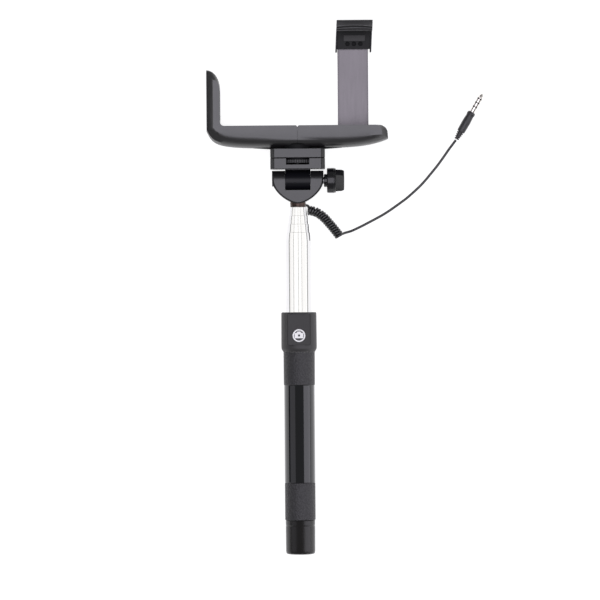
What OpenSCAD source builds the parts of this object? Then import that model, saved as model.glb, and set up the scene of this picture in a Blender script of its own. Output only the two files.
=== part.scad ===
// Wired selfie stick with a telescopic pole, lying on its back.
// X runs across the pole, Y along it towards the phone holder, Z up from the table.

/* [Pole] */
// Outer diameter of the fixed outer tube
tube_d = 18.5; // [18.5:0.1:19]
// Step in diameter from one tube to the next one inside it
tube_step = 2; // [1.9:0.05:2]
// Wall of each tube
tube_wall = 0.45; // [0.4:0.01:0.45]
// Length of each swaged nose that shows when the pole is closed
nose_len = 5.9; // [5.5:0.1:6]
// Height along Y at which the outer tube's nose starts
nose_start = 32.8; // [32:0.1:33]

/* [Handle] */
// Outer diameter of the switch housing
housing_d = 24.8; // [24.6:0.1:24.8]
// Outer diameter of the glossy sleeve
sleeve_d = 21.4; // [21.2:0.1:21.6]
// Outer diameter of the end cap
cap_d = 20.5; // [20.4:0.1:20.8]
// Diameter of the shutter button
button_d = 9; // [8.4:0.1:9.2]

/* [Joint head] */
// Radius of the clevis ears about the tilt axis
ear_r = 7; // [6.6:0.1:7]
// Width of the clevis across both ears
yoke_w = 36; // [35:0.5:36]
// Width of the slot between the ears
slot_w = 17.8; // [17.6:0.1:18]
// Diameter of the tightening knob's hub
hub_d = 17.7; // [17:0.1:18]

/* [Phone holder] */
// Width of the holder
holder_w = 127; // [126:1:128]
// Depth of the holder, front to back
holder_d = 24.8; // [24.6:0.1:25]
// Wall of the tray's front lip
lip_t = 2.8; // [2.6:0.1:3]
// Width of the spring tape
tape_w = 21.4; // [20:0.2:21.4]
// Width of the hook
hook_w = 25.2; // [25:0.1:25.6]

/* [Cord] */
// Diameter of the lead
lead_d = 1.8; // [1.6:0.1:2]
// Outer diameter of the curly stretch
curl_d = 7; // [6.8:0.1:7.2]

/* [Hidden] */
$fn = 48;

axis_z = housing_d / 2;     // height of the pole's axis above the table
run = 0.05;                 // radial clearance of a running fit
eps = 1;                    // how far a cutter passes the face that it cuts

// Pole
tube_r = [for (i = [0:4]) (tube_d - i * tube_step) / 2];
tube_end = [for (i = [0:4]) -178 + (i == 0 ? 0 : 3 + 3 * i)];
tip_y = [for (i = [0:3]) nose_start + nose_len * (i + 1)];
nose_wall = 0.4;
nose_land = 3;
bush_len = 12;
inner_lead_r = 3;
inner_lead_y = [-160, 40];

// Handle, measured along Y
cap_end = -186.7;
cap_top = -162.4;
cap_floor = -178;
cap_plug = 2.5;             // how far the cap's plug reaches into the tube
lower_grip_top = -136.3;
sleeve_top = -68;
grip_top = -44.9;
housing_round = -42.1;
housing_top = -17;
grip_core_r = 10;
lower_grip_r = 10.65;
upper_grip_r = 10.95;
round_r = 1.4;

// Switch, heights measured from the pole's axis
panel_w = 17.5;
panel_low = -40;
panel_high = -18.2;
button_y = -33.3;
cover_under = 10.6;
board_w = 11;
board_low = -38.6;
board_high = -23.6;
board_z = 9.35;
board_t = 0.5;
board_room = 0.3;           // clearance round the board
room_floor = 4;
switch_w = 4.5;
switch_h = 0.6;
plunger_r = 1.2;
plunger_h = 0.2;
switch_z = board_z + board_t;
flange_r = 5.3;
flange_z = [11, 11.4];
flange_room = 0.3;
button_room = 0.1;
panel_edge = 1;
button_top = 12.6;

// Joint head
collar_y = [56.5, 60.1];
collar_r = 5.45;
collar_plug = 8;            // how far the collar reaches into the tube
stud_r = 2.5;
stud_top = 64.5;
tilt_y = 75;
yoke_low = 59.7;
slot_floor = 68;
bolt_r = 2.5;
bolt_inset = 0.2;
nut_af = 8;
nut_t = 4;
knuckle_r = 6.7;
knuckle_w = 17.2;
neck_z = 6;                 // half the depth of the knuckle's neck
step_w = 16.8;
block_w = 38.2;
block_z = [1, 23.8];
block_low = 83;
step_low = 82.7;
split_y = 90.7;
split_gap = 0.15;
corner = 2.6;
wheel_y = [86.8, 89.9];
wheel_r = 10.5;
notches = 36;
notch_r = 0.4;
cavity_r = 10.9;
window_w = 15.8;
window_y = 86.2;
screw_r = 3.175;
screw_top = 95.5;
pivot_r = 2;
pivot_low = 84.4;
pivot_room = 0.3;
foot_top = 97.3;
insert_r = 4.5;
pad_half = 18;              // pad between the foot and the holder
pad_depth = [4, 18];
insert_low = split_y + split_gap + 0.2;

// Knob, measured along X
knob_neck = [yoke_w / 2 + 0.3, 20.4];
knob_hub = [20.4, 26.2];
knob_end = 32.5;
neck_r = 4.6;
wing_reach = 8.1;           // from the bolt's axis to the wing's rounded ends
wing_t = 5.6;
wing_turn = 48;             // how far the wing is turned, in degrees
bolt_short = 3;             // how much the bolt stops short of the wing's face

// Phone holder
half_w = holder_w / 2;
front_z = holder_d;
shelf_y = 109.5;
rim_y = 113.6;
arm_inner = -54.6;
arm_shoulder = 139.8;
arm_tip = 152.6;
arm_t = half_w + arm_inner;
back_wall_z = 7.5;
lip_z = front_z - lip_t;
hull_low = 98;
hull_rise = 5.9;            // how far the underside curves up at the right end
arm_rise = [4.9, 6.7];      // and at the left end, below the arm
end_r = 3.2;
end_bevel = 3;
front_bevel = [4.6, 4.2];   // across and in depth
tip_bevel = [6, 4.8];       // down the arm and in depth
belly = [[100, 0], [hull_low, 3], [hull_low, 18], [100, 21.4], [102.1, 23.6], [105.3, front_z]];
fillet_r = 3;
pad_t = 0.8;
pad_z = [9, 20.5];
left_pad_x = [-50, -8];
right_pad_x = [8, 58];
arm_pad_t = 0.6;
arm_pad_y = [118, 138];
boss_r = 11;
stem_r = 8.5;
head_r = 9.8;
boss_top = 100.8;
stem_top = 102.8;
head_top = 104.6;
cover_t = 1.3;
cover_y = [101.2, 112];
cover_x = [3, 51.5];
cavity_x = [13, 50.5];
cavity_y = [101.8, 105, 105.5, 111.4];   // the deep hollow and the shallow one beyond it
cavity_z = [19, 6];
screw_at = [[7.5, 109.4], [10.5, 104]];
cover_screw_r = 1.1;
cover_screw_z = [0.2, 6.3];
notch = 1.1;                // the small nick where the halves meet
seam = 0.05;                // half the gap between the halves

// Spring tape and its drum
tape_x = 39.2;
tape_t = 0.3;
drum_y = 104.5;
drum_z = 7.9;
drum_r = 2.4;
roll_r = 3.3;
axle_r = 1;
axle_reach = 2;             // how far the axle enters the walls
tape_y = [108.3, 176];
tape_room = [0.6, 0.7];     // beside the tape and in front of it
tape_room_y = 106;
drum_len = tape_w + 1;
tape_z = drum_z - roll_r + tape_t / 2;
drum_room = [27.6, 51];      // along X
drum_room_y = [100.9, 108.2];
drum_room_z = [4, 12];

// Hook, measured along Y and Z
hook_x = 40.1;
hook_top = 186.7;
roof_y = 181.9;
lip_low = 178.8;
hook_low = 167.1;
rail_low = 164.9;
hook_front = 24.4;
hook_lip_t = 3;
hook_wall = [tape_z + tape_t / 2, 7.3];
rail_w = 1.1;
rail_z = 2;
hook_round = 3;
rivet_y = 171;
rivet_pitch = 4.5;
rivet_r = 1;
rivet_head = [1.6, 0.4];    // radius and height
plate_w = 18;
plate_y = [168, 175];
plate_z = 2.8;
hook_pad_w = 20;

// Cord: route points on the table, each [x, y, z]
gland_turn = -50;
gland_r = 1.6;
gland_reach = 8.2;
gland_root = 0.2;           // how far it starts inside the collar
gland_y = 58;
tail_route = [[5.3, 58, 6.1], [6.2, 57.8, 5], [7.4, 57.2, 4.1], [8.3, 56.6, 3.8]];
coil_route = [[8, 54.5, 3.5], [12, 53.4, 3.5], [15.2, 51.6, 3.5], [18.4, 49, 3.5],
              [21.8, 45.2, 3.5], [25.4, 40.9, 3.5], [29, 36.2, 3.5]];
lead_route = [[30.8, 37.4, 3.9], [33.6, 38.6, 2.4], [37.2, 39.6, 1.2], [40.8, 41.2, 1],
              [45.8, 43.6, 1], [50.8, 46.2, 1], [55.8, 48.8, 1], [60.8, 51.6, 1],
              [66.6, 55.4, 1], [72, 59.2, 1], [75.6, 61.8, 1], [79.2, 64.8, 1],
              [82.8, 68, 1], [86.4, 71.4, 1], [90, 75.3, 1], [93.5, 79.5, 1],
              [97.1, 83.8, 1], [100.6, 88.4, 1], [103.6, 92.6, 1.1], [106.4, 96.6, 1.6],
              [109, 100, 2.4], [111.2, 102.9, 3]];
plug_at = [111.6, 103.5, 3];
plug_turn = 59.7;
relief_len = 6;
plug_len = 22;
plug_r = 2.95;
pin_r = 1.75;
pin_len = 36.6;
pin_waist = [1.2, 34.2];    // radius of the groove behind the tip, and where it is
ring_at = [25.8, 29, 32.2];
ring_len = 0.7;
ring_depth = 0.3;

// Points of an arc about c from angle a0 to a1
function arc(c, r, a0, a1, n = 8) =
  [for (i = [0:n]) c + r * [cos(a0 + (a1 - a0) * i / n), sin(a0 + (a1 - a0) * i / n)]];

// Height of the holder's underside at a distance x from the middle
function hull_y(x) =
  x > 0 ? hull_low + hull_rise * pow(x / half_w, 4.6)
        : hull_low + arm_rise[0] * pow(-x / half_w, 5) + arm_rise[1] * pow(-x / half_w, 20);

// A body turned about the pole's axis: child drawn in the radius and height plane
module about_pole() {
  translate([0, 0, axis_z]) rotate([-90, 0, 0]) rotate_extrude($fn = 64) children();
}

module ring_y(r_out, r_in, y0, y1) {
  about_pole() translate([r_in, y0]) square([r_out - r_in, y1 - y0]);
}

// A rod along Y centred at x and z
module rod_y(r, y0, y1, x = 0, z = axis_z) {
  translate([x, y0, z]) rotate([-90, 0, 0]) cylinder(h = y1 - y0, r = r);
}

// A rod along X at the tilt axis or another height
module rod_x(r, x0, x1, y = tilt_y, z = axis_z) {
  translate([x0, y, z]) rotate([0, 90, 0]) cylinder(h = x1 - x0, r = r);
}

module box(x, y, z) {
  translate([x[0], y[0], z[0]]) cube([x[1] - x[0], y[1] - y[0], z[1] - z[0]]);
}

// Prisms of an outline: drawn in X and Y, in Y and Z, or in X and Z
module prism_z(z0, z1) { translate([0, 0, z0]) linear_extrude(z1 - z0) children(); }

module prism_x(x0, x1) {
  translate([x0, 0, 0]) rotate([90, 0, 90]) linear_extrude(x1 - x0) children();
}

module prism_y(y0, y1) {
  translate([0, y1, 0]) rotate([90, 0, 0]) linear_extrude(y1 - y0) children();
}

// ---- Telescopic pole ----

module nosed_tube(i) {
  r = tube_r[i];
  bore = tube_r[i + 1] + run;
  start = tip_y[i] - nose_len;
  about_pole() polygon([
    [r - tube_wall, tube_end[i]], [r, tube_end[i]], [r, start], [bore + nose_wall, tip_y[i]],
    [bore, tip_y[i]], [bore, tip_y[i] - nose_land], [r - tube_wall, start]
  ]);
}

module outer_tube() { color("silver") nosed_tube(0); }
module tube_1() { color("silver") nosed_tube(1); }
module tube_2() { color("silver") nosed_tube(2); }
module tube_3() { color("silver") nosed_tube(3); }
module tube_4() {
  color("silver") ring_y(tube_r[4], tube_r[4] - tube_wall, tube_end[4], collar_y[0]);
}

// The bush at a tube's lower end slides in the tube around it
module bush(i) {
  color("ivory")
    ring_y(tube_r[i - 1] - tube_wall - run, tube_r[i], tube_end[i], tube_end[i] + bush_len);
}

module bush_1() { bush(1); }
module bush_2() { bush(2); }
module bush_3() { bush(3); }
module bush_4() { bush(4); }
module inner_lead() { color("black") rod_y(inner_lead_r, inner_lead_y[0], inner_lead_y[1]); }

// ---- Handle ----

module end_cap() {
  r = cap_d / 2;
  spigot_r = tube_r[0] - tube_wall;
  color("dimgray") about_pole() polygon(concat(
    [[0, cap_end]],
    arc([r - round_r, cap_end + round_r], round_r, -90, 0, 6),
    [[r, cap_top], [tube_r[0], cap_top], [tube_r[0], cap_floor],
     [spigot_r, cap_floor], [spigot_r, cap_floor + cap_plug], [0, cap_floor + cap_plug]]
  ));
}

module grip_core() { color("black") ring_y(grip_core_r, tube_r[0], cap_top, grip_top); }

module lower_grip() {
  color("dimgray") ring_y(lower_grip_r, grip_core_r, cap_top, lower_grip_top);
}

module gloss_sleeve() {
  color("black") ring_y(sleeve_d / 2, grip_core_r, lower_grip_top, sleeve_top);
}

module upper_grip() {
  color("dimgray") ring_y(upper_grip_r, grip_core_r, sleeve_top, grip_top);
}

module switch_housing() {
  r = housing_d / 2;
  round_len = housing_round - grip_top;
  color("dimgray") difference() {
    union() {
      about_pole() polygon(concat(
        [[tube_r[0], grip_top]],
        arc([r - round_len, housing_round], round_len, -90, 0, 8),
        [[r, housing_top], [tube_r[0], housing_top]]
      ));
      box([-panel_w / 2, panel_w / 2], [panel_low, housing_top], [axis_z, axis_z + cover_under]);
    }
    rod_y(tube_r[0], grip_top - eps, housing_top + eps);
    box([-panel_w / 2 - eps, panel_w / 2 + eps], [panel_low, panel_high],
        [axis_z + cover_under, axis_z + r + eps]);
    box([-board_w / 2 - board_room, board_w / 2 + board_room],
        [board_low - board_room, board_high + board_room], [axis_z + room_floor, axis_z + r + eps]);
  }
}

module switch_cover() {
  w = panel_w / 2;
  h = housing_d / 2;
  color("dimgray") difference() {
    translate([0, 0, axis_z]) prism_y(panel_low, panel_high)
      polygon([[-w, cover_under], [w, cover_under], [w, h - panel_edge], [w - panel_edge, h],
               [panel_edge - w, h], [-w, h - panel_edge]]);
    translate([0, button_y, axis_z]) cylinder(h = h + eps, r = button_d / 2 + button_room);
    translate([0, button_y, axis_z]) cylinder(h = flange_z[1] + run, r = flange_r + flange_room);
  }
}

module circuit_board() {
  color("darkgreen") box([-board_w / 2, board_w / 2], [board_low, board_high],
                         [axis_z + board_z, axis_z + switch_z]);
}

module tact_switch() {
  color("silver") {
    box([-switch_w / 2, switch_w / 2], [button_y - switch_w / 2, button_y + switch_w / 2],
        [axis_z + switch_z, axis_z + switch_z + switch_h]);
    translate([0, button_y, axis_z + switch_z + switch_h]) cylinder(h = plunger_h, r = plunger_r);
  }
}

module shutter_button() {
  color("black") translate([0, button_y, axis_z]) union() {
    translate([0, 0, flange_z[0]]) cylinder(h = flange_z[1] - flange_z[0], r = flange_r);
    translate([0, 0, flange_z[0]]) cylinder(h = button_top - flange_z[0], r = button_d / 2);
  }
}

// ---- Joint head ----

module collar() {
  color("saddlebrown") union() {
    ring_y(collar_r, 0, collar_y[0], collar_y[1]);
    rod_y(tube_r[4] - tube_wall, collar_y[0] - collar_plug, collar_y[0]);
    rod_y(stud_r, collar_y[1], stud_top);
  }
}

module yoke() {
  half = yoke_w / 2;
  bowl = tilt_y - yoke_low;
  color("black") difference() {
    intersection() {
      prism_z(0, holder_d) polygon(concat(
        [for (a = [180:12:360]) [half * cos(a), tilt_y + bowl * sin(a)]],
        [[half, tilt_y + ear_r], [-half, tilt_y + ear_r]]
      ));
      prism_x(-half, half) polygon(concat(
        arc([tilt_y, axis_z], ear_r, 90, -90, 16),
        [[yoke_low - eps, axis_z - collar_r], [yoke_low - eps, axis_z + collar_r]]
      ));
    }
    box([-slot_w / 2, slot_w / 2], [slot_floor, tilt_y + 2 * ear_r], [0, holder_d]);
    rod_x(bolt_r + run, -half - eps, half + eps);
    translate([-half - eps, tilt_y, axis_z]) rotate([0, 90, 0])
      cylinder(h = nut_t + eps, d = nut_af / cos(30), $fn = 6);
    rod_y(collar_r, yoke_low - eps, collar_y[1]);
    rod_y(stud_r, collar_y[1] - eps, stud_top);
  }
}

module clamp_nut() {
  color("silver") difference() {
    translate([-yoke_w / 2, tilt_y, axis_z]) rotate([0, 90, 0])
      cylinder(h = nut_t, d = nut_af / cos(30), $fn = 6);
    rod_x(bolt_r + run, -yoke_w / 2 - eps, yoke_w / 2);
  }
}

module knob() {
  color("black") difference() {
    union() {
      rod_x(hub_d / 2, knob_hub[0], knob_hub[1]);
      intersection() {
        rod_x(wing_reach, knob_hub[1] - eps, knob_end);
        translate([0, tilt_y, axis_z]) rotate([wing_turn, 0, 0])
          box([knob_hub[1] - eps, knob_end], [-hub_d, hub_d], [-wing_t / 2, wing_t / 2]);
      }
    }
    rod_x(bolt_r, knob_hub[0] - eps, knob_end - bolt_short);
  }
}

module knob_washer() {
  color("silver") difference() {
    rod_x(neck_r, knob_neck[0], knob_neck[1]);
    rod_x(bolt_r, knob_neck[0] - eps, knob_neck[1] + eps);
  }
}

module clamp_bolt() {
  color("silver") rod_x(bolt_r, -yoke_w / 2 + bolt_inset, knob_end - bolt_short);
}

// Plan of the foot and of the block below it, with its corners cut off
module block_plan() {
  w = block_w / 2;
  polygon([[-w, block_z[0] + corner], [corner - w, block_z[0]], [w - corner, block_z[0]],
           [w, block_z[0] + corner], [w, block_z[1] - corner], [w - corner, block_z[1]],
           [corner - w, block_z[1]], [-w, block_z[1] - corner]]);
}

module tilt_block() {
  color("black") difference() {
    union() {
      rod_x(knuckle_r, -knuckle_w / 2, knuckle_w / 2);
      box([-knuckle_w / 2, knuckle_w / 2], [tilt_y, block_low + eps],
          [axis_z - neck_z, axis_z + neck_z]);
      box([-step_w / 2, step_w / 2], [step_low, block_low + eps],
          [block_z[0] + corner, block_z[1] - corner]);
      prism_y(block_low, split_y - split_gap) block_plan();
    }
    rod_x(bolt_r + run, -knuckle_w, knuckle_w);
    rod_y(cavity_r, window_y, split_y);
    rod_y(pivot_r + run, pivot_low - pivot_room, window_y + eps);
    box([-window_w / 2, window_w / 2], [window_y, split_y], [axis_z, holder_d + eps]);
  }
}

module thumbwheel() {
  color("black") difference() {
    rod_y(wheel_r, wheel_y[0], wheel_y[1]);
    rod_y(screw_r, wheel_y[0] - eps, wheel_y[1] + eps);
    for (i = [0:notches - 1])
      translate([0, 0, axis_z]) rotate([0, i * 360 / notches, 0])
        rod_y(notch_r, wheel_y[0] - eps, wheel_y[1] + eps, wheel_r, 0, $fn = 16);
  }
}

module mount_screw() {
  color("silver") union() {
    rod_y(screw_r, wheel_y[0], screw_top);
    rod_y(pivot_r, pivot_low, wheel_y[0]);
  }
}

// ---- Phone holder ----

module foot() {
  color("black") difference() {
    union() {
      prism_y(split_y + split_gap, foot_top) block_plan();
      box([-pad_half, pad_half], [foot_top - eps, hull_low], pad_depth);
      rod_y(boss_r, foot_top, boss_top);
      rod_y(stem_r, boss_top, stem_top);
      rod_y(head_r, stem_top, head_top);
    }
    rod_y(insert_r, split_y, foot_top);
  }
}

module insert_nut() {
  color("gold") ring_y(insert_r, screw_r + run, insert_low, foot_top);
}

// Outline of the whole holder in X and Y, with the side arm at the left
module holder_outline() {
  polygon(concat(
    [for (x = [-half_w:half_w / 16:half_w]) [x, hull_y(x)]],
    arc([half_w - end_r, rim_y - end_r], end_r, 0, 90, 6),
    arc([arm_inner + fillet_r, rim_y + fillet_r], fillet_r, 270, 180, 6),
    [for (a = [0:10:90]) [-half_w + arm_t * cos(a),
                          arm_shoulder + (arm_tip - arm_shoulder) * sin(a)]]
  ));
}

// Side view of the holder: bevelled underside and front edge
module holder_side() {
  polygon(concat([[arm_tip + eps, 0]], belly,
                 [[arm_tip - tip_bevel[0], front_z], [arm_tip + eps, front_z - tip_bevel[1]]]));
}

// Plan view of the holder: bevels down both ends
module holder_plan() {
  side_z = front_z - front_bevel[1];
  polygon([[end_bevel - half_w, 0], [half_w - end_bevel, 0], [half_w, end_bevel],
           [half_w, side_z], [half_w - front_bevel[0], front_z],
           [front_bevel[0] - half_w, front_z], [-half_w, side_z], [-half_w, end_bevel]]);
}

module holder_shell() {
  difference() {
    intersection() {
      prism_z(0, front_z) holder_outline();
      prism_x(-half_w, half_w) holder_side();
      prism_y(foot_top - eps, arm_tip + eps) holder_plan();
    }
    box([arm_inner, half_w + eps], [shelf_y, arm_tip + eps], [back_wall_z, lip_z]);
    rod_y(boss_r, foot_top - eps, boss_top);
    rod_y(stem_r, boss_top - eps, stem_top);
    rod_y(head_r, stem_top, head_top);
  }
}

// Recess in the back for a cover, and the hollow behind it; side is -1 or 1
module back_recess(side) {
  x = side < 0 ? [-cover_x[1], -cover_x[0]] : cover_x;
  hollow = side < 0 ? [-cavity_x[1], -cavity_x[0]] : cavity_x;
  box(x, cover_y, [-eps, cover_t]);
  box(hollow, [cavity_y[0], cavity_y[2]], [0, cavity_z[0]]);
  box(hollow, [cavity_y[1], cavity_y[3]], [0, cavity_z[1]]);
}

module screw_holes(side, r, z0, z1) {
  for (at = screw_at) translate([side * at[0], at[1], z0]) cylinder(h = z1 - z0, r = r, $fn = 24);
}

module seam_notch() {
  prism_z(-eps, front_z + eps)
    polygon([[-notch, rim_y + 0.1], [0, rim_y - notch],
             [notch, rim_y + 0.1]]);
}

module holder_left() {
  color("dimgray") difference() {
    intersection() {
      holder_shell();
      box([-half_w - eps, -seam], [foot_top - eps, arm_tip + eps], [-eps, front_z + eps]);
    }
    back_recess(-1);
    seam_notch();
    screw_holes(-1, cover_screw_r, 0, cover_screw_z[1] + 0.2);
  }
}

module holder_right() {
  color("dimgray") difference() {
    intersection() {
      holder_shell();
      box([seam, half_w + eps], [foot_top - eps, arm_tip + eps], [-eps, front_z + eps]);
    }
    back_recess(1);
    seam_notch();
    screw_holes(1, cover_screw_r, 0, cover_screw_z[1] + 0.2);
    box(drum_room, drum_room_y, drum_room_z);
    box([tape_x - tape_w / 2 - tape_room[0], tape_x + tape_w / 2 + tape_room[0]],
        [tape_room_y, rim_y + eps], [tape_z - tape_room[1], tape_z + tape_room[1]]);
    axle();
  }
}

module back_cover(side) {
  x = side < 0 ? [-cover_x[1], -cover_x[0]] : cover_x;
  color("black") difference() {
    box(x, cover_y, [0, cover_t]);
    screw_holes(side, cover_screw_r + 0.2, -eps, cover_t + eps);
  }
}

module left_back_cover() { back_cover(-1); }
module right_back_cover() { back_cover(1); }

module cover_screws() {
  color("silver") for (side = [-1, 1]) screw_holes(side, cover_screw_r, cover_screw_z[0], cover_screw_z[1]);
}

module shelf_pads() {
  color("black") for (side = [-1, 1])
    box(side < 0 ? left_pad_x : right_pad_x, [shelf_y, shelf_y + pad_t], pad_z);
}

module arm_pad() {
  color("black") box([arm_inner, arm_inner + arm_pad_t], arm_pad_y, pad_z);
}

module axle() {
  rod_x(axle_r, drum_room[0] - axle_reach, drum_room[1] + axle_reach, drum_y, drum_z);
}

module drum_axle() { color("silver") axle(); }

module tape_drum() {
  color("ivory") difference() {
    rod_x(drum_r, tape_x - drum_len / 2, tape_x + drum_len / 2, drum_y, drum_z);
    rod_x(axle_r + run, tape_x - drum_len, tape_x + drum_len, drum_y, drum_z);
  }
}

module tape_roll() {
  color("silver") difference() {
    rod_x(roll_r, tape_x - tape_w / 2, tape_x + tape_w / 2, drum_y, drum_z);
    rod_x(drum_r, tape_x - tape_w, tape_x + tape_w, drum_y, drum_z);
  }
}

module spring_tape() {
  color("silver")
    box([tape_x - tape_w / 2, tape_x + tape_w / 2], tape_y,
        [tape_z - tape_t / 2, tape_z + tape_t / 2]);
}

// ---- Hook ----

module rivet_places() {
  for (i = [-1:1]) translate([hook_x + i * rivet_pitch, rivet_y, 0]) children();
}

module hook() {
  z_in = hook_front - hook_lip_t;
  x0 = hook_x - hook_w / 2;
  x1 = hook_x + hook_w / 2;
  color("dimgray") difference() {
    union() {
      prism_x(x0, x1) polygon(concat(
        [[hook_low, hook_wall[0]], [hook_top - 1, hook_wall[0]], [hook_top, hook_wall[0] + 1]],
        arc([hook_top - hook_round, hook_front - hook_round], hook_round, 0, 90, 6),
        [[lip_low, hook_front], [lip_low, z_in], [roof_y, z_in],
         [roof_y, hook_wall[1]], [hook_low, hook_wall[1]]]
      ));
      for (x = [x0, x1 - rail_w])
        box([x, x + rail_w], [rail_low, roof_y], [rail_z, hook_wall[1] + 1]);
    }
    rivet_places() cylinder(h = hook_front, r = rivet_r);
  }
}

module hook_pad() {
  color("black") box([hook_x - hook_pad_w / 2, hook_x + hook_pad_w / 2], [roof_y - pad_t, roof_y], pad_z);
}

module hook_rivets() {
  color("silver") rivet_places() union() {
    translate([0, 0, plate_z]) cylinder(h = hook_wall[1] - plate_z, r = rivet_r);
    translate([0, 0, hook_wall[1]]) cylinder(h = rivet_head[1], r = rivet_head[0]);
  }
}

module hook_plate() {
  color("silver") difference() {
    box([hook_x - plate_w / 2, hook_x + plate_w / 2], plate_y, [plate_z, tape_z - tape_t / 2]);
    rivet_places() cylinder(h = hook_front, r = rivet_r);
  }
}

// ---- Cord ----

function unit(v) = v / norm(v);

// Direction of a route at point i
function heading(p, i) =
  unit(p[min(i + 1, len(p) - 1)] - p[max(i - 1, 0)]);

// A tube of radius r swept along the points p, with flat ends
module swept(p, r, sides = 8) {
  rings = [for (i = [0:len(p) - 1])
    let (d = heading(p, i), s = unit(cross(d, [0, 0, 1])), u = cross(s, d))
    for (k = [0:sides - 1])
      p[i] + r * (cos(k * 360 / sides) * s + sin(k * 360 / sides) * u)];
  walls = [for (i = [0:len(p) - 2], k = [0:sides - 1])
    let (a = i * sides + k, b = i * sides + (k + 1) % sides)
    [a, b, b + sides, a + sides]];
  last = (len(p) - 1) * sides;
  polyhedron(rings, concat(
    [[for (k = [0:sides - 1]) sides - 1 - k]], walls,
    [[for (k = [0:sides - 1]) last + k]]
  ));
}

module along_plug() {
  translate(plug_at) rotate([0, 0, plug_turn]) rotate([0, 90, 0]) children();
}

module cord_gland() {
  color("black") translate([0, gland_y, axis_z]) rotate([0, 90 - gland_turn, 0])
    translate([0, 0, collar_r - gland_root]) cylinder(h = gland_reach - collar_r + gland_root, r = gland_r);
}

module cord_coil() { color("black") swept(coil_route, curl_d / 2, 16); }

module cord_lead() {
  color("black") {
    swept(tail_route, lead_d / 2);
    swept(lead_route, lead_d / 2);
  }
}

module plug_relief() {
  color("black") along_plug() rotate_extrude()
    polygon([[0, 0], [1.7, 0], [2.5, relief_len], [0, relief_len]]);
}

module plug_body() {
  color("black") along_plug() rotate_extrude() polygon([
    [0, relief_len], [plug_r - 0.3, relief_len], [plug_r, relief_len + 2],
    [plug_r, plug_len - 2], [plug_r - 0.9, plug_len], [0, plug_len]
  ]);
}

module plug_pin() {
  core = pin_r - ring_depth;
  color("silver") along_plug() difference() {
    rotate_extrude() polygon([
      [0, plug_len], [pin_r, plug_len], [pin_r, pin_waist[1] - 0.8], pin_waist,
      [pin_r - 0.1, pin_waist[1] + 0.8],
      [0.5, pin_len], [0, pin_len]
    ]);
    for (at = ring_at)
      translate([0, 0, at]) difference() {
        cylinder(h = ring_len, r = pin_r + eps);
        translate([0, 0, -eps]) cylinder(h = ring_len + 2 * eps, r = core);
      }
  }
}

module plug_rings() {
  color("black") along_plug() for (at = ring_at)
    translate([0, 0, at]) difference() {
      cylinder(h = ring_len, r = pin_r);
      translate([0, 0, -eps]) cylinder(h = ring_len + 2 * eps, r = pin_r - ring_depth);
    }
}

end_cap();
outer_tube();
grip_core();
lower_grip();
gloss_sleeve();
upper_grip();
switch_housing();
switch_cover();
circuit_board();
tact_switch();
shutter_button();
tube_1();
tube_2();
tube_3();
tube_4();
bush_1();
bush_2();
bush_3();
bush_4();
inner_lead();
collar();
yoke();
clamp_nut();
knob();
clamp_bolt();
knob_washer();
tilt_block();
thumbwheel();
mount_screw();
foot();
insert_nut();
holder_left();
holder_right();
left_back_cover();
right_back_cover();
cover_screws();
shelf_pads();
arm_pad();
drum_axle();
tape_drum();
tape_roll();
spring_tape();
hook();
hook_pad();
hook_rivets();
hook_plate();
cord_gland();
cord_coil();
cord_lead();
plug_relief();
plug_body();
plug_pin();
plug_rings();
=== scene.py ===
# %% [markdown]
# # A wired selfie stick, lying on its back
# The whole stick is modelled here as its own parts: a telescopic pole of five nested
# tubes, a handle with a shutter button, a tilting head, a phone holder with a sprung hook
# and a curly cord that ends in a headset plug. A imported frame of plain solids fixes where
# every part sits and how it moves, so each new piece only has to be drawn at its place.

# %% Load the frame and measure it
import math

import bmesh
import bpy
from mathutils import Matrix, Vector


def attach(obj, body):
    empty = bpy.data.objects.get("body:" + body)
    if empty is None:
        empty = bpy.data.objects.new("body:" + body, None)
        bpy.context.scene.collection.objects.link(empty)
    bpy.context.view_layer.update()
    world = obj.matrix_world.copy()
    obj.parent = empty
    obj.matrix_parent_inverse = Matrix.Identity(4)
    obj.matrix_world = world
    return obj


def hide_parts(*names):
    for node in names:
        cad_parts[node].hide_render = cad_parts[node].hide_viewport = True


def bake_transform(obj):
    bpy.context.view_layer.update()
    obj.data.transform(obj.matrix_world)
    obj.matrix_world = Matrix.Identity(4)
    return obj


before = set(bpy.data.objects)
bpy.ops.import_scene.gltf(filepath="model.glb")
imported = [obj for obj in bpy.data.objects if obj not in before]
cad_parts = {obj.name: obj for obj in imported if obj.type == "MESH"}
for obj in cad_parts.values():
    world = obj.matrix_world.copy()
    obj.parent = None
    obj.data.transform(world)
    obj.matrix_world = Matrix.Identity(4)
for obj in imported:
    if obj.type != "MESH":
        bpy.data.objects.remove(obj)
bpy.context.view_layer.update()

scene = bpy.context.scene
MM = 0.001

# %% [markdown]
# ## Camera
# A long lens far above the table shows the parts almost without perspective, the way a
# catalogue shows them. The distance and the field width fix the focal length, so the
# lens is worked out and not guessed. The stick lies about half a degree off upright,
# and turning the camera by that angle keeps the model itself square to its axes.

# %% Camera
camera_height = 3.0
field_width = 0.42
field_centre = (0.0009, -0.0085)
field_turn = -0.45
sharp_height = 0.012  # the height at which the field has its full width
camera_data = bpy.data.cameras.new("camera")
camera_data.type = "PERSP"
camera_data.sensor_width = 36
camera_data.lens = camera_data.sensor_width * (camera_height - sharp_height) / field_width
camera = bpy.data.objects.new("camera", camera_data)
camera.location = (*field_centre, camera_height)
camera.rotation_euler = (0, 0, math.radians(field_turn))
scene.collection.objects.link(camera)
scene.camera = camera
print("lens", round(camera_data.lens), "mm")

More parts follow.
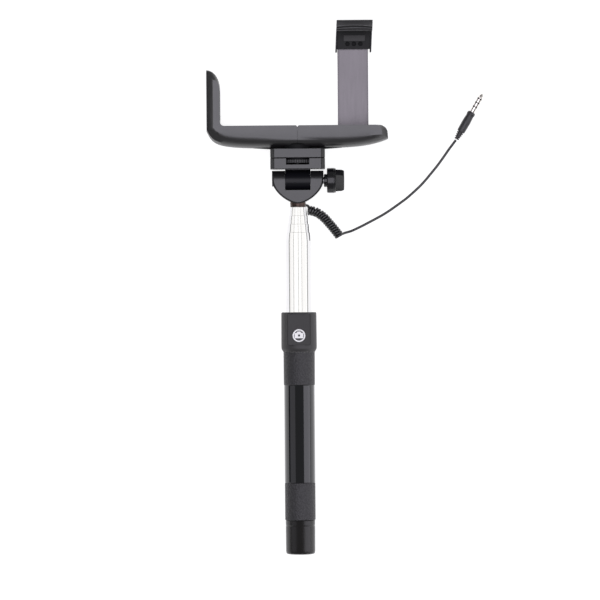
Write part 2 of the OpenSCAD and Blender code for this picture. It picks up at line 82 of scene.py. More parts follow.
# %% [markdown]
# ## The cord's route
# The cord leaves the collar under the head, drops to the table, winds up as a curly
# stretch about sixteen turns long, and runs on as a plain lead to the plug. On the real
# cord that is one piece of cable, so it is one spline here too. The curly part is a
# helix about a bent centre line: a frame is carried along the line and a point walks
# round it, with more than a dozen points to each turn so that the turns stay round.

# %% Cord curve
cord_radius = 0.9
curl_radius = 2.6
turns = 16
points_per_turn = 14
start_angle = 150
coil_samples = 400
tail = [(5.3, 58, 6.1), (6.2, 57.8, 5), (7.4, 57.2, 4.1), (8.3, 56.6, 3.8)]
coil = [(6.9, 54.4, 3.5), (11.6, 53.5, 3.5), (15.2, 51.6, 3.5), (18.4, 49, 3.5),
        (21.8, 45.2, 3.5), (25.4, 40.9, 3.5), (29, 36.2, 3.5)]
lead = [(30.8, 37.4, 3.9), (33.6, 38.6, 2.4), (37.2, 39.6, 1.2), (40.8, 41.2, 1),
        (45.8, 43.6, 1), (50.8, 46.2, 1), (55.8, 48.8, 1), (60.8, 51.6, 1), (66.6, 55.4, 1),
        (72, 59.2, 1), (75.6, 61.8, 1), (79.2, 64.8, 1), (82.8, 68, 1), (86.4, 71.4, 1),
        (90, 75.3, 1), (93.5, 79.5, 1), (97.1, 83.8, 1), (100.6, 88.4, 1),
        (103.6, 92.6, 1.1), (106.4, 96.6, 1.6), (109, 100, 2.4), (111.2, 102.9, 3)]


def along(route, t):
    """The point and the heading at a share t of the way along a route, eased at its points."""
    at = min(t * (len(route) - 1), len(route) - 1.001)
    i = int(at)
    u = at - i
    p = [Vector(route[max(0, min(len(route) - 1, i + k))]) for k in (-1, 0, 1, 2)]
    spot = 0.5 * ((2 * p[1]) + (p[2] - p[0]) * u + (2 * p[0] - 5 * p[1] + 4 * p[2] - p[3]) * u ** 2
                  + (3 * p[1] - p[0] - 3 * p[2] + p[3]) * u ** 3)
    return spot, (p[2] - p[1]).normalized()


def even_shares(route, count):
    """Shares of the route that lie equal lengths apart."""
    spots = [along(route, k / coil_samples)[0] for k in range(coil_samples + 1)]
    run = [0.0]
    for a, b in zip(spots, spots[1:]):
        run.append(run[-1] + (b - a).length)
    shares, k = [], 0
    for n in range(count + 1):
        while k < coil_samples - 1 and run[k + 1] < run[-1] * n / count:
            k += 1
        shares.append((k + (run[-1] * n / count - run[k]) / (run[k + 1] - run[k])) / coil_samples)
    return shares


def curl(route, first_angle):
    """Points of a helix round a route that lies flat on the table."""
    out = []
    for k, share in enumerate(even_shares(route, turns * points_per_turn)):
        spot, heading = along(route, share)
        side = heading.cross(Vector((0, 0, 1))).normalized()
        up = side.cross(heading)
        a = first_angle + 2 * math.pi * k / points_per_turn
        out.append(spot + curl_radius * (math.cos(a) * side + math.sin(a) * up))
    return out


curl_points = curl(coil, math.radians(start_angle))
cord_points = [Vector(p) for p in tail[:-1]] + curl_points + [Vector(p) for p in lead[1:]]
cord_curve = bpy.data.curves.new("curly_cord", "CURVE")
cord_curve.dimensions = "3D"
cord_curve.bevel_depth = 1.0
cord_curve.bevel_resolution = 3
cord_curve.resolution_u = 2
cord_curve.use_fill_caps = True
spline = cord_curve.splines.new("BEZIER")
spline.bezier_points.add(len(cord_points) - 1)
for knot, place in zip(spline.bezier_points, cord_points):
    knot.co = place * MM
    knot.handle_left_type = knot.handle_right_type = "AUTO"
    knot.radius = cord_radius * MM
cord_length = sum((b - a).length for a, b in zip(cord_points, cord_points[1:])) * MM
curly_cord = bpy.data.objects.new("curly_cord", cord_curve)
scene.collection.objects.link(curly_cord)
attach(curly_cord, "post")
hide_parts("cord_coil", "cord_lead")
print("cord length", round(cord_length, 3), "m in", len(cord_points), "points")

# %% [markdown]
# ## Studio
# Black plastic shows its shape only through what it reflects. A softbox straight above
# turns the faces that look up satin grey, and two more at the sides draw the long pale
# bands on the round handle. Polished chrome would burn out under the same lamps, so it
# gets a set of four of its own, and the glossy handle gets no lamp from above, which
# leaves its middle black. The table is a lit sheet of paper, so hardly any shadow falls.

# %% Softboxes and floor
scene.view_settings.view_transform = "Standard"


def softbox(name, tilt, spread, brightness, tint=(1.0, 0.98, 1.08), distance=3.5, length=3.0):
    """A soft lamp that spans some degrees about a tilt from upright, towards +X."""
    data = bpy.data.lights.new(name, "AREA")
    data.shape = "RECTANGLE"
    data.size = 2 * distance * math.tan(math.radians(spread / 2))
    data.size_y = length
    data.energy = brightness * math.pi * data.size * data.size_y
    data.color = tint
    lamp = bpy.data.objects.new(name, data)
    angle = math.radians(tilt)
    lamp.location = (distance * math.sin(angle), 0, distance * math.cos(angle))
    lamp.rotation_euler = (0, angle, 0)
    scene.collection.objects.link(lamp)
    print(name, "spans", round(data.size, 2), "m")
    return lamp


top_lamp = softbox("top_lamp", 0, 50, 2.1)
left_lamp = softbox("left_lamp", -55, 44, 0.40)
right_lamp = softbox("right_lamp", 58, 54, 1.4)
warm = (1.0, 0.99, 0.97)
chrome_lamps = [softbox("chrome_left", -63.5, 40, 1.02, warm),
                softbox("chrome_inner_left", -21, 39, 1.12, warm),
                softbox("chrome_inner_right", 14.5, 27, 1.12, warm),
                softbox("chrome_right", 55, 49, 1.05, warm)]

floor_half, floor_drop = 5, 0.0003
floor_mesh = bpy.data.meshes.new("floor")
floor_bm = bmesh.new()
bmesh.ops.create_grid(floor_bm, x_segments=1, y_segments=1, size=floor_half)
bmesh.ops.translate(floor_bm, verts=floor_bm.verts, vec=(0, 0, -floor_drop))
floor_bm.to_mesh(floor_mesh)
floor_bm.free()
floor = bpy.data.objects.new("floor", floor_mesh)
scene.collection.objects.link(floor)

# %% [markdown]
# ## Writing materials as sums
# A procedural finish is arithmetic on noise, so a small class wraps a socket of the node
# tree and turns + - * / into Math nodes. Every other node is made by its one method
# `node`, which takes the node's type, its settings and what feeds its sockets.

# %% The wire class
class Wire:
    """An output socket in a material; arithmetic on it adds Math nodes."""

    def __init__(self, tree, socket=None):
        self.tree, self.socket = tree, socket

    def node(self, kind, settings=None, feeds=None, out=0):
        made = self.tree.nodes.new(kind)
        for key, value in (settings or {}).items():
            if key == "stops":
                while len(made.color_ramp.elements) < len(value):
                    made.color_ramp.elements.new(0.5)
                for stop, (place, shade) in zip(made.color_ramp.elements, value):
                    stop.position = place
                    stop.color = (shade, shade, shade, 1)
            else:
                setattr(made, key, value)
        for key, value in (feeds or {}).items():
            if isinstance(value, Wire):
                self.tree.links.new(value.socket, made.inputs[key])
            else:
                made.inputs[key].default_value = value
        return Wire(self.tree, made.outputs[out])

    def math(self, operation, a, b):
        return self.node("ShaderNodeMath", {"operation": operation}, {0: a, 1: b})

    def __add__(self, other): return self.math("ADD", self, other)
    def __radd__(self, other): return self.math("ADD", other, self)
    def __sub__(self, other): return self.math("SUBTRACT", self, other)
    def __rsub__(self, other): return self.math("SUBTRACT", other, self)
    def __mul__(self, other): return self.math("MULTIPLY", self, other)
    def __truediv__(self, other): return self.math("DIVIDE", self, other)
    def __pow__(self, other): return self.math("POWER", self, other)

    def noise(self, scale, detail=3.0, stretch=(1, 1, 1)):
        """Noise on the piece's own coordinates, with scale in marks per metre."""
        place = self.node("ShaderNodeTexCoord", out="Object")
        if stretch != (1, 1, 1):
            place = self.node("ShaderNodeMapping", {}, {"Vector": place, "Scale": stretch})
        return self.node("ShaderNodeTexNoise", {}, {"Vector": place, "Scale": scale, "Detail": detail})

    def blend(self, share, a, b):
        """A colour between a and b."""
        made = self.node("ShaderNodeMix", {"data_type": "RGBA"}, {"Factor": share}, out=2)
        for index, value in ((6, a), (7, b)):
            socket = made.socket.node.inputs[index]
            if isinstance(value, Wire):
                self.tree.links.new(value.socket, socket)
            else:
                socket.default_value = (*value, 1)
        return made

    def bump(self, height, depth, strength=1.0):
        """A normal from a height from 0 to 1, where 1 stands depth metres proud."""
        return self.node("ShaderNodeBump", {}, {"Height": height, "Distance": depth,
                                                "Strength": strength})


def material(name, **fixed):
    """A new material, its wire, and its shader with the constant sockets set."""
    made = bpy.data.materials.new(name)
    made.use_nodes = True
    shader = made.node_tree.nodes["Principled BSDF"]
    for key, value in fixed.items():
        shader.inputs[key.replace("_", " ")].default_value = value
    return made, Wire(made.node_tree), shader


def feed(wire, shader, **links):
    for key, value in links.items():
        wire.tree.links.new(value.socket, shader.inputs[key.replace("_", " ")])


print("wire class ready")

# %% [markdown]
# The sky is a dim grey with a brighter ring near the horizon, which gives the upright
# sides of the black parts something to show. On the left the ring fades out.

# %% Sky and floor finishes
world = bpy.data.worlds.new("sky")
scene.world = world
world.use_nodes = True
sky = Wire(world.node_tree)
heading = sky.node("ShaderNodeTexCoord", out="Generated")
across = sky.node("ShaderNodeSeparateXYZ", {}, {"Vector": heading}, out=0)
height = sky.node("ShaderNodeSeparateXYZ", {}, {"Vector": heading}, out=2)
left_side = sky.node("ShaderNodeValToRGB", {"stops": [(0.0, 1.0), (0.35, 0.0)]},
                     {"Fac": across * 0.5 + 0.5})
band = sky.node("ShaderNodeValToRGB", {"stops": [(0.46, 0.0), (0.49, 1.0), (0.56, 1.0), (0.72, 0.0)]},
                {"Fac": height * 0.5 + 0.5})
brightness = 0.20 + band * 0.22 - band * left_side * 0.40
background = world.node_tree.nodes["Background"]
world.node_tree.links.new(brightness.socket, background.inputs["Strength"])
background.inputs["Color"].default_value = (1, 1, 1, 1)

floor_finish, wire, shader = material("lit_paper", Roughness=0.9, Emission_Color=(1, 1, 1, 1),
                                      Emission_Strength=0.85)
feed(wire, shader, Base_Color=wire.blend(wire.noise(3.0), (0.48, 0.48, 0.48), (0.52, 0.52, 0.52)))
floor_mesh.materials.append(floor_finish)
print("sky and floor done")

# %% [markdown]
# ## Plastics
# The head and the holder are black ABS with a satin skin from a finely blasted mould.
# Under a softbox it reads as warm grey. Two noises make it: a broad one drifts the
# colour and the gloss a little, as handling does, and a very fine one is the grain.

# %% Satin, gloss and rubber finishes
def plastic(name, dark, light, rough, rough_drift, grain, grain_depth, coat=0.0, spec=0.5):
    """A plastic from its two shades, its roughness and drift, and its grain's scale and depth."""
    made, wire, shader = material(name, Coat_Weight=coat, Coat_Roughness=0.06, Specular_IOR_Level=spec)
    drift = wire.noise(60.0, 4.0)
    fine = wire.noise(grain, 2.0)
    mottle = drift * 0.7 + fine * 0.3
    feed(wire, shader, Base_Color=wire.blend(mottle, dark, light),
         Roughness=rough - rough_drift / 2 + drift * rough_drift,
         Normal=wire.bump(fine, grain_depth * MM, 0.6))
    return made


holder_satin = plastic("holder_satin", (0.011, 0.0105, 0.0115), (0.021, 0.020, 0.022), 0.34, 0.10,
                       2600, 0.012, spec=1.0)
head_satin = plastic("head_satin", (0.011, 0.011, 0.012), (0.020, 0.019, 0.021), 0.30, 0.10,
                     2600, 0.010, spec=0.75)
housing_matte = plastic("housing_matte", (0.022, 0.021, 0.022), (0.033, 0.031, 0.032), 0.55, 0.08,
                        2200, 0.020, spec=0.6)
cap_matte = plastic("cap_matte", (0.012, 0.011, 0.012), (0.022, 0.019, 0.019), 0.30, 0.12,
                    2400, 0.010)
# A darker, less shiny copy of the satin black: painted shade on the knuckle between the fork's ears and on
# the hook's side rails.
knuckle_satin = plastic("knuckle_satin", (0.006, 0.006, 0.009), (0.010, 0.010, 0.013), 0.30, 0.08,
                        2600, 0.006, spec=0.2)
wheel_satin = plastic("wheel_satin", (0.020, 0.020, 0.021), (0.032, 0.031, 0.033), 0.55, 0.08,
                      2600, 0.006, spec=1.0)
knob_gloss = plastic("knob_gloss", (0.007, 0.007, 0.009), (0.012, 0.012, 0.014), 0.20, 0.08,
                     2600, 0.006)
sleeve_gloss = plastic("sleeve_gloss", (0.006, 0.007, 0.010), (0.010, 0.011, 0.014), 0.09, 0.04,
                       900, 0.004, coat=0.6)
cord_skin = plastic("cord_skin", (0.007, 0.007, 0.008), (0.013, 0.013, 0.014), 0.28, 0.08,
                    3000, 0.008, spec=0.7)
plug_satin = plastic("plug_satin", (0.020, 0.020, 0.022), (0.032, 0.031, 0.033), 0.40, 0.08,
                     2800, 0.010)
# A duller, darker black: the own colour of the back covers, rivet heads, plug rings and hidden inner parts,
# and painted shade on the foot's boss and on the sheet under the holder.
inner_black = plastic("inner_black", (0.006, 0.006, 0.007), (0.011, 0.011, 0.012), 0.55, 0.10,
                      2600, 0.012, spec=0.12)
# A darker, duller copy of the holder's satin black: painted shade on the hook's back wall, deep inside the
# channel.
hook_dark = plastic("hook_dark", (0.008, 0.008, 0.009), (0.014, 0.014, 0.015), 0.50, 0.10,
                    2600, 0.012, spec=0.25)
natural_nylon = plastic("natural_nylon", (0.66, 0.64, 0.58), (0.74, 0.72, 0.67), 0.45, 0.08,
                        1800, 0.010)
curly_cord.data.materials.append(cord_skin)
print("plastics", len(bpy.data.materials))

# %% [markdown]
# The grip ends are moulded rubber with a leathery stipple. Cells of a Voronoi pattern a
# millimetre across, softened by noise, give the pebbles. The valleys are a little duller
# than the tops, and the colour is painted darker in the valleys and lighter on the tops:
# painted shade between the pebbles.

# %% Stippled rubber
def stippled(name, dark, light, rough, cells, depth):
    """A rubber with pebbles, from their number per metre and their depth in millimetres."""
    made, wire, shader = material(name)
    place = wire.node("ShaderNodeTexCoord", out="Object")
    wobble = wire.noise(700, 2.0)
    bent = wire.node("ShaderNodeVectorMath", {"operation": "MULTIPLY_ADD"},
                     {0: wire.node("ShaderNodeTexNoise", {}, {"Vector": place, "Scale": 900.0}, out=1),
                      1: (0.0006, 0.0006, 0.0006), 2: place})
    cell = wire.node("ShaderNodeTexVoronoi", {"feature": "F1"}, {"Vector": bent, "Scale": cells})
    pebble = 1 - cell
    # painted shade: the colour follows the pebbles' height, darker in the valleys and lighter on the tops
    feed(wire, shader, Base_Color=wire.blend(pebble * 0.6 + wobble * 0.4, dark, light),
         Roughness=rough + cell * 0.12, Normal=wire.bump(pebble, depth * MM, 0.8))
    return made


grip_rubber = stippled("grip_rubber", (0.012, 0.011, 0.013), (0.036, 0.035, 0.038), 0.44, 900.0, 0.32)
pad_rubber = stippled("pad_rubber", (0.015, 0.015, 0.015), (0.024, 0.024, 0.025), 0.7, 1500.0, 0.05)
print("rubbers done, finishes", len(bpy.data.materials))

# %% [markdown]
# ## Metals
# The tubes are drawn, polished and chromed: nearly a mirror, with hair-fine polishing
# lines along their length. The same recipe with other marks, more roughness and a
# darker colour makes the spring tape, the steel screws and the bronze collar. The tape's
# colour is also painted darker towards its two edges: painted shade for rolled edges
# that turn from the light, as the strip itself is drawn flat.

# %% Chrome, steel and bronze
def metal(name, dark, light, rough, marks, stretch, depth):
    """A metal with marks drawn out along an axis, from their number per metre and depth."""
    made, wire, shader = material(name, Metallic=1.0)
    lines = wire.noise(marks, 3.0, stretch)
    cloud = wire.noise(45.0, 3.0)
    feed(wire, shader, Base_Color=wire.blend(lines * 0.6 + cloud * 0.4, dark, light),
         Roughness=rough * 0.7 + lines * rough * 0.4 + cloud * rough * 0.2,
         Normal=wire.bump(lines, depth * MM, 0.5))
    return made


TAPE_X, TAPE_HALF = 39.2, 10.7
chrome = metal("chrome", (0.74, 0.735, 0.74), (0.84, 0.84, 0.84), 0.07, 1400, (1, 0.02, 1), 0.0010)
tape_steel = metal("tape_steel", (0.145, 0.135, 0.144), (0.19, 0.178, 0.189), 0.42, 2400, (1, 0.03, 1), 0.004)
wire = Wire(tape_steel.node_tree)
spot = wire.node("ShaderNodeTexCoord", out="Object")
off = (wire.node("ShaderNodeSeparateXYZ", {}, {"Vector": spot}) - TAPE_X * MM) / (TAPE_HALF * MM)
shader = tape_steel.node_tree.nodes["Principled BSDF"]
rolled = Wire(wire.tree, shader.inputs["Base Color"].links[0].from_socket)
# painted shade: the tape's colour darkens towards its two edges, standing in for rolled edges that turn from
# the light
rim = wire.math("MINIMUM", (off * off) ** 9.0, 1.0) * 0.6
feed(wire, shader, Base_Color=wire.blend(rim, rolled, (0.03, 0.028, 0.03)))
steel = metal("steel", (0.42, 0.42, 0.43), (0.56, 0.56, 0.56), 0.24, 2000, (1, 1, 0.1), 0.004)
bronze = metal("bronze", (0.045, 0.032, 0.028), (0.10, 0.072, 0.062), 0.30, 1600, (1, 0.03, 1), 0.006)
blackened = metal("blackened", (0.02, 0.02, 0.022), (0.05, 0.05, 0.052), 0.35, 2000, (1, 1, 0.1), 0.004)
brass = metal("brass", (0.62, 0.44, 0.20), (0.78, 0.60, 0.32), 0.22, 2000, (1, 0.1, 1), 0.004)
nickel = metal("nickel", (0.70, 0.66, 0.62), (0.82, 0.79, 0.75), 0.12, 1800, (1, 1, 1), 0.001)
white_print = plastic("white_print", (0.92, 0.92, 0.92), (0.97, 0.97, 0.97), 0.45, 0.06, 2400, 0.004)
board_green = plastic("board_green", (0.012, 0.10, 0.035), (0.02, 0.15, 0.05), 0.30, 0.06,
                      1500, 0.006, coat=0.4)
print("finishes", len(bpy.data.materials))

# %% [markdown]
# ## Shaping helpers
# Round parts are turned: half an outline is drawn beside an axis and spun about it. Flat
# parts are prisms: an outline is filled and extruded. Both round their outline's corners
# first, as a moulding or a turned part never has a knife edge. Everything is drawn in
# millimetres and scaled to metres once, when the mesh is handed over.

# %% Outline, prism and turning helpers
AXIS_Z = 12.4
TILT_Y = 75.0
POLE = Matrix(((1, 0, 0, 0), (0, 0, 1, 0), (0, -1, 0, AXIS_Z), (0, 0, 0, 1)))
TILT = Matrix(((0, 0, 1, 0), (1, 0, 0, TILT_Y), (0, 1, 0, AXIS_Z), (0, 0, 0, 1)))


def rounded(corners, steps=4, closed=True):
    """An outline with the corners that carry a third number rounded to that radius."""
    out, count = [], len(corners)
    for i, corner in enumerate(corners):
        here = Vector(corner[:2])
        radius = corner[2] if len(corner) > 2 else 0
        if not radius or (not closed and i in (0, count - 1)):
            out.append(here)
            continue
        back = Vector(corners[i - 1][:2]) - here
        ahead = Vector(corners[(i + 1) % count][:2]) - here
        half = back.angle(ahead) / 2
        reach = min(radius / math.tan(half), 0.49 * back.length, 0.49 * ahead.length)
        a, b = here + back.normalized() * reach, here + ahead.normalized() * reach
        for k in range(steps + 1):
            t = k / steps
            out.append(a * (1 - t) ** 2 + here * 2 * t * (1 - t) + b * t ** 2)
    return out


def ring_of_edges(bm, points):
    verts = [bm.verts.new(p) for p in points]
    return [bm.edges.new((a, b)) for a, b in zip(verts, verts[1:] + verts[:1])]


def turned(outline, place=POLE, segments=96, steps=4, closed=True):
    """A shape turned about an axis, from an outline of radius and height."""
    bm = bmesh.new()
    points = [Vector((r, 0, h)) for r, h in rounded(outline, steps, closed)]
    verts = [bm.verts.new(p) for p in points]
    pairs = list(zip(verts, verts[1:])) + ([(verts[-1], verts[0])] if closed else [])
    edges = [bm.edges.new(pair) for pair in pairs]
    bmesh.ops.spin(bm, geom=verts + edges, cent=(0, 0, 0), axis=(0, 0, 1), dvec=(0, 0, 0),
                   angle=2 * math.pi, steps=segments, use_merge=True)
    bmesh.ops.remove_doubles(bm, verts=bm.verts, dist=1e-4)
    bmesh.ops.recalc_face_normals(bm, faces=bm.faces)
    bmesh.ops.transform(bm, matrix=place, verts=bm.verts)
    return bm


def spun(outline, place=POLE, segments=96):
    """A turned shape whose outline starts and ends on the axis."""
    return turned(outline, place, segments, closed=False)


AXES = {"x": Matrix(((0, 0, 1, 0), (1, 0, 0, 0), (0, 1, 0, 0), (0, 0, 0, 1))),
        "y": Matrix(((1, 0, 0, 0), (0, 0, 1, 0), (0, -1, 0, 0), (0, 0, 0, 1))),
        "z": Matrix.Identity(4)}


def prism(outline, low, high, along_axis="z", steps=4):
    """An outline pushed along an axis. Outlines read (x, y) along z, (y, z) along x, (x, -z) along y."""
    bm = bmesh.new()
    edges = ring_of_edges(bm, [Vector((p[0], p[1], low)) for p in rounded(outline, steps)])
    face = bmesh.ops.contextual_create(bm, geom=edges)["faces"]
    pushed = bmesh.ops.extrude_face_region(bm, geom=face)["geom"]
    bmesh.ops.translate(bm, vec=(0, 0, high - low),
                        verts=[g for g in pushed if isinstance(g, bmesh.types.BMVert)])
    bmesh.ops.recalc_face_normals(bm, faces=bm.faces)
    bmesh.ops.transform(bm, matrix=AXES[along_axis], verts=bm.verts)
    return bm


def lofted(rings):
    """A closed skin through a stack of outlines."""
    bm = bmesh.new()
    loops = [ring_of_edges(bm, ring) for ring in rings]
    for a, b in zip(loops, loops[1:]):
        bmesh.ops.bridge_loops(bm, edges=a + b)
    for loop in (loops[0], loops[-1]):
        bmesh.ops.contextual_create(bm, geom=loop)
    bmesh.ops.recalc_face_normals(bm, faces=bm.faces)
    return bm


def block(x, y, z):
    return prism([(x[0], y[0]), (x[1], y[0]), (x[1], y[1]), (x[0], y[1])], z[0], z[1])


def disc(radius, count=64, centre=(0, 0)):
    return [(centre[0] + radius * math.cos(2 * math.pi * k / count),
             centre[1] + radius * math.sin(2 * math.pi * k / count)) for k in range(count)]


print("outline and turning helpers ready")

# %% [markdown]
# Shapes made this way are then joined, or cut by one another. The last helper hands a
# finished shape over: it makes the object, rounds its edges, lets it ride on a body and
# says which plain CAD nodes it stands for.

# %% Joining, cutting and handing over
def joined(*parts):
    """Several meshes in one."""
    whole = bmesh.new()
    for part in parts:
        loose = bpy.data.meshes.new("loose")
        part.to_mesh(loose)
        whole.from_mesh(loose)
        bpy.data.meshes.remove(loose)
        part.free()
    return whole


WELD, FLAT_ANGLE = 1e-3, 0.5


def worked(bm, *cuts, operation="DIFFERENCE"):
    """The mesh after the other meshes are cut from it, or joined or crossed with it."""
    base = bpy.data.objects.new("base", bpy.data.meshes.new("base"))
    bm.to_mesh(base.data)
    bm.free()
    scene.collection.objects.link(base)
    tools = []
    for cut in cuts:
        tool = bpy.data.objects.new("tool", bpy.data.meshes.new("tool"))
        cut.to_mesh(tool.data)
        cut.free()
        scene.collection.objects.link(tool)
        step = base.modifiers.new("step", "BOOLEAN")
        step.operation, step.object, step.solver = operation, tool, "EXACT"
        tools.append(tool)
    solid = bpy.data.meshes.new_from_object(base.evaluated_get(bpy.context.evaluated_depsgraph_get()))
    out = bmesh.new()
    out.from_mesh(solid)
    for obj in [base] + tools:
        bpy.data.objects.remove(obj)
    bmesh.ops.remove_doubles(out, verts=out.verts, dist=WELD)
    bmesh.ops.dissolve_limit(out, angle_limit=math.radians(FLAT_ANGLE), verts=out.verts,
                             edges=out.edges)
    return out


def piece(name, bm, finish, body, nodes=(), edge=0.0, edge_steps=2, sharp=32):
    """Hands a mesh over as a named piece that rides on a body and stands for CAD nodes."""
    bmesh.ops.scale(bm, vec=(MM, MM, MM), verts=bm.verts)
    mesh = bpy.data.meshes.new(name)
    bm.to_mesh(mesh)
    bm.free()
    mesh.shade_smooth()
    mesh.set_sharp_from_angle(angle=math.radians(sharp))
    mesh.materials.append(finish)
    obj = bpy.data.objects.new(name, mesh)
    scene.collection.objects.link(obj)
    if edge:
        bevel = obj.modifiers.new("edge", "BEVEL")
        bevel.width, bevel.segments = edge * MM, edge_steps
        bevel.limit_method, bevel.angle_limit = "ANGLE", math.radians(sharp)
        bevel.harden_normals = True
    if body:
        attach(obj, body)
    if nodes:
        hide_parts(*nodes)
    print(name, len(mesh.polygons), "faces")
    return obj


print("handing-over helpers ready")

# %% [markdown]
# ## Telescopic pole
# Five drawn tubes slide in each other. Each of the outer four is swaged at its tip: the
# end is squeezed to a cone that guides the next tube and stops its bush from coming
# out. Closed, only the noses show, so the pole looks like one long stepped cone.

# %% Tubes and their noses
tube_radius = [9.25, 8.25, 7.25, 6.25, 5.25]
tube_wall = 0.45
nose_start, nose_length = 32.8, 5.9
pole_end, bush_step = -178, 3
inner_end, inner_top = -163, 56.5
tube_bodies = ["handle", "tube_1", "tube_2", "tube_3"]
for i, body in enumerate(tube_bodies):
    r, inner = tube_radius[i], tube_radius[i + 1] + 0.05
    start = nose_start + i * nose_length
    tip = start + nose_length
    foot_end = pole_end + (bush_step + bush_step * i if i else 0)
    name = "outer_tube" if i == 0 else f"tube_{i}"
    piece("pole_" + name, turned([(r - tube_wall, foot_end), (r, foot_end), (r, start, 3),
                                  (inner + 0.42, tip - 0.6, 0.8), (inner + 0.36, tip, 0.15),
                                  (inner, tip), (inner, tip - 3, 0.5), (r - tube_wall, start, 2)],
                                 segments=128),
          chrome, body, [name])
r = tube_radius[4]
piece("pole_tube_4", turned([(r - tube_wall, inner_end), (r, inner_end), (r, inner_top),
                             (r - tube_wall, inner_top)], segments=96),
      chrome, "post", ["tube_4"])

# %% [markdown]
# The nylon bushes and the inner lead never show while the stick is closed. They keep
# their plain CAD shape and only take a fitting finish.

# %% Finishes for the frame's own nodes
def dressed(finish, *names):
    for name in names:
        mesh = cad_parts[name].data
        mesh.materials.clear()
        mesh.materials.append(finish)
    print(finish.name, "on", len(names), "nodes")


dressed(natural_nylon, "bush_1", "bush_2", "bush_3", "bush_4", "tape_drum")
dressed(cord_skin, "inner_lead")
dressed(inner_black, "grip_core")
dressed(board_green, "circuit_board")
dressed(steel, "tact_switch", "clamp_nut", "clamp_bolt", "drum_axle")
dressed(blackened, "mount_screw")
dressed(tape_steel, "tape_roll", "hook_plate")
dressed(brass, "insert_nut")
dressed(pad_rubber, "shelf_pads", "arm_pad", "hook_pad")

# %% [markdown]
# ## Handle
# A rubber grip sits at each end of a glossy sleeve, with a satin cap pushed on the end.
# All four are turned. The cap has a slightly domed end and a fine groove under its rim,
# where a lanyard band would sit.

# %% Cap, grips and sleeve
core_r, pole_r = 10.02, tube_radius[0]
piece("handle_cap", spun([(0, -186.7), (7.0, -186.5, 20), (9.9, -185.9, 1.2), (10.22, -184.0, 1.5),
                          (10.25, -166.7, 0.1), (10.05, -166.4), (10.05, -166.0), (10.25, -165.7, 0.1),
                          (10.25, -162.8, 0.2), (10.0, -162.45), (pole_r, -162.45), (pole_r, pole_end),
                          (8.8, pole_end), (8.8, -175.5), (0, -175.5)], segments=112),
      cap_matte, "handle", ["end_cap"])
piece("lower_grip_rubber", turned([(core_r, -162.4), (10.4, -162.4, 0.2), (10.65, -162.0, 0.4),
                                   (10.65, -136.6, 0.25), (10.45, -136.3), (core_r, -136.3)], segments=112),
      grip_rubber, "handle", ["lower_grip"])
piece("sleeve", turned([(core_r, -136.25), (10.5, -136.25, 0.15), (10.7, -136.0, 0.3),
                        (10.7, -68.2, 0.2), (10.6, -68.0), (core_r, -68.0)], segments=128),
      sleeve_gloss, "handle", ["gloss_sleeve"])
piece("upper_grip_rubber", turned([(core_r, -67.95), (10.6, -67.95, 0.2), (10.85, -67.6, 0.4),
                                   (10.95, -45.3), (10.95, -44.95), (core_r, -44.95)], segments=112),
      grip_rubber, "handle", ["upper_grip"])

# %% [markdown]
# ## Switch housing and shutter button
# The housing is a thick collar that tapers down to the grip. A flat panel on its front
# carries the round shutter button: a raised rim, and a camera sign in raised white
# print, drawn as a plain body with a hump and a lens.

# %% Housing and panel
button_y = -33.3
collar_body = turned([(pole_r, -44.85), (11.0, -44.85, 0.2), (12.3, -42.6, 1.2), (12.4, -40.5, 1.5),
                      (12.3, -17.8, 0.5), (11.9, -17.05, 0.4), (pole_r, -17.05)], segments=128)
pocket = block((-5.8, 5.8), (-38.9, -23.3), (16.4, 30))
panel_cut = block((-8.75, 8.75), (-40, -18.2), (23.0, 30))
piece("switch_housing_body", worked(collar_body, pocket, panel_cut), housing_matte, "handle",
      ["switch_housing"], edge=0.15)
cover = worked(prism([(-8.6, -23.02), (8.6, -23.02), (8.6, -23.9, 0.5), (7.75, -24.75, 0.8),
                      (-7.75, -24.75, 0.8), (-8.6, -23.9, 0.5)], -39.9, -18.3, "y"),
               prism(disc(4.62, 72, (0, button_y)), 20, 30),
               prism(disc(5.6, 72, (0, button_y)), 20, AXIS_Z + 11.45))
piece("switch_panel", cover, housing_matte, "handle", ["switch_cover"], edge=0.2)

# %% Shutter button
BUTTON = Matrix.Translation((0, button_y, AXIS_Z))
piece("shutter_disc", spun([(0, 11.0), (5.28, 11.0), (5.28, 11.38), (4.5, 11.4), (4.5, 12.25, 0.15),
                            (3.9, 12.25, 0.1), (3.7, 12.05, 0.1), (0, 12.05)], BUTTON, 72),
      knob_gloss, "shutter", ["shutter_button"])
piece("shutter_rim", turned([(3.5, 12.1), (3.56, 12.45, 0.1), (4.42, 12.45, 0.1), (4.49, 12.1)],
                            BUTTON, 72), white_print, "shutter")
sign = prism([(-3.05, -35.15, 0.4), (3.05, -35.15, 0.4), (3.05, -31.55, 0.4), (1.65, -31.5, 0.2),
              (1.1, -30.45, 0.5), (-1.1, -30.45, 0.5), (-1.65, -31.5, 0.2), (-3.05, -31.55, 0.4)],
             AXIS_Z + 12.0, AXIS_Z + 12.4)
piece("shutter_sign", worked(sign, prism(disc(0.75, 32, (0.0, -33.2)), 24.3, 26)), white_print,
      "shutter", edge=0.08)

# %% [markdown]
# ## Joint head
# The head is a clevis, a fork that grips a round knuckle, and tilts about a bolt. The
# fork is the meeting of two outlines: a bowl seen from the front and a rounded ear seen
# from the side. Crossing two prisms gives exactly that, and a bevel softens the edges.

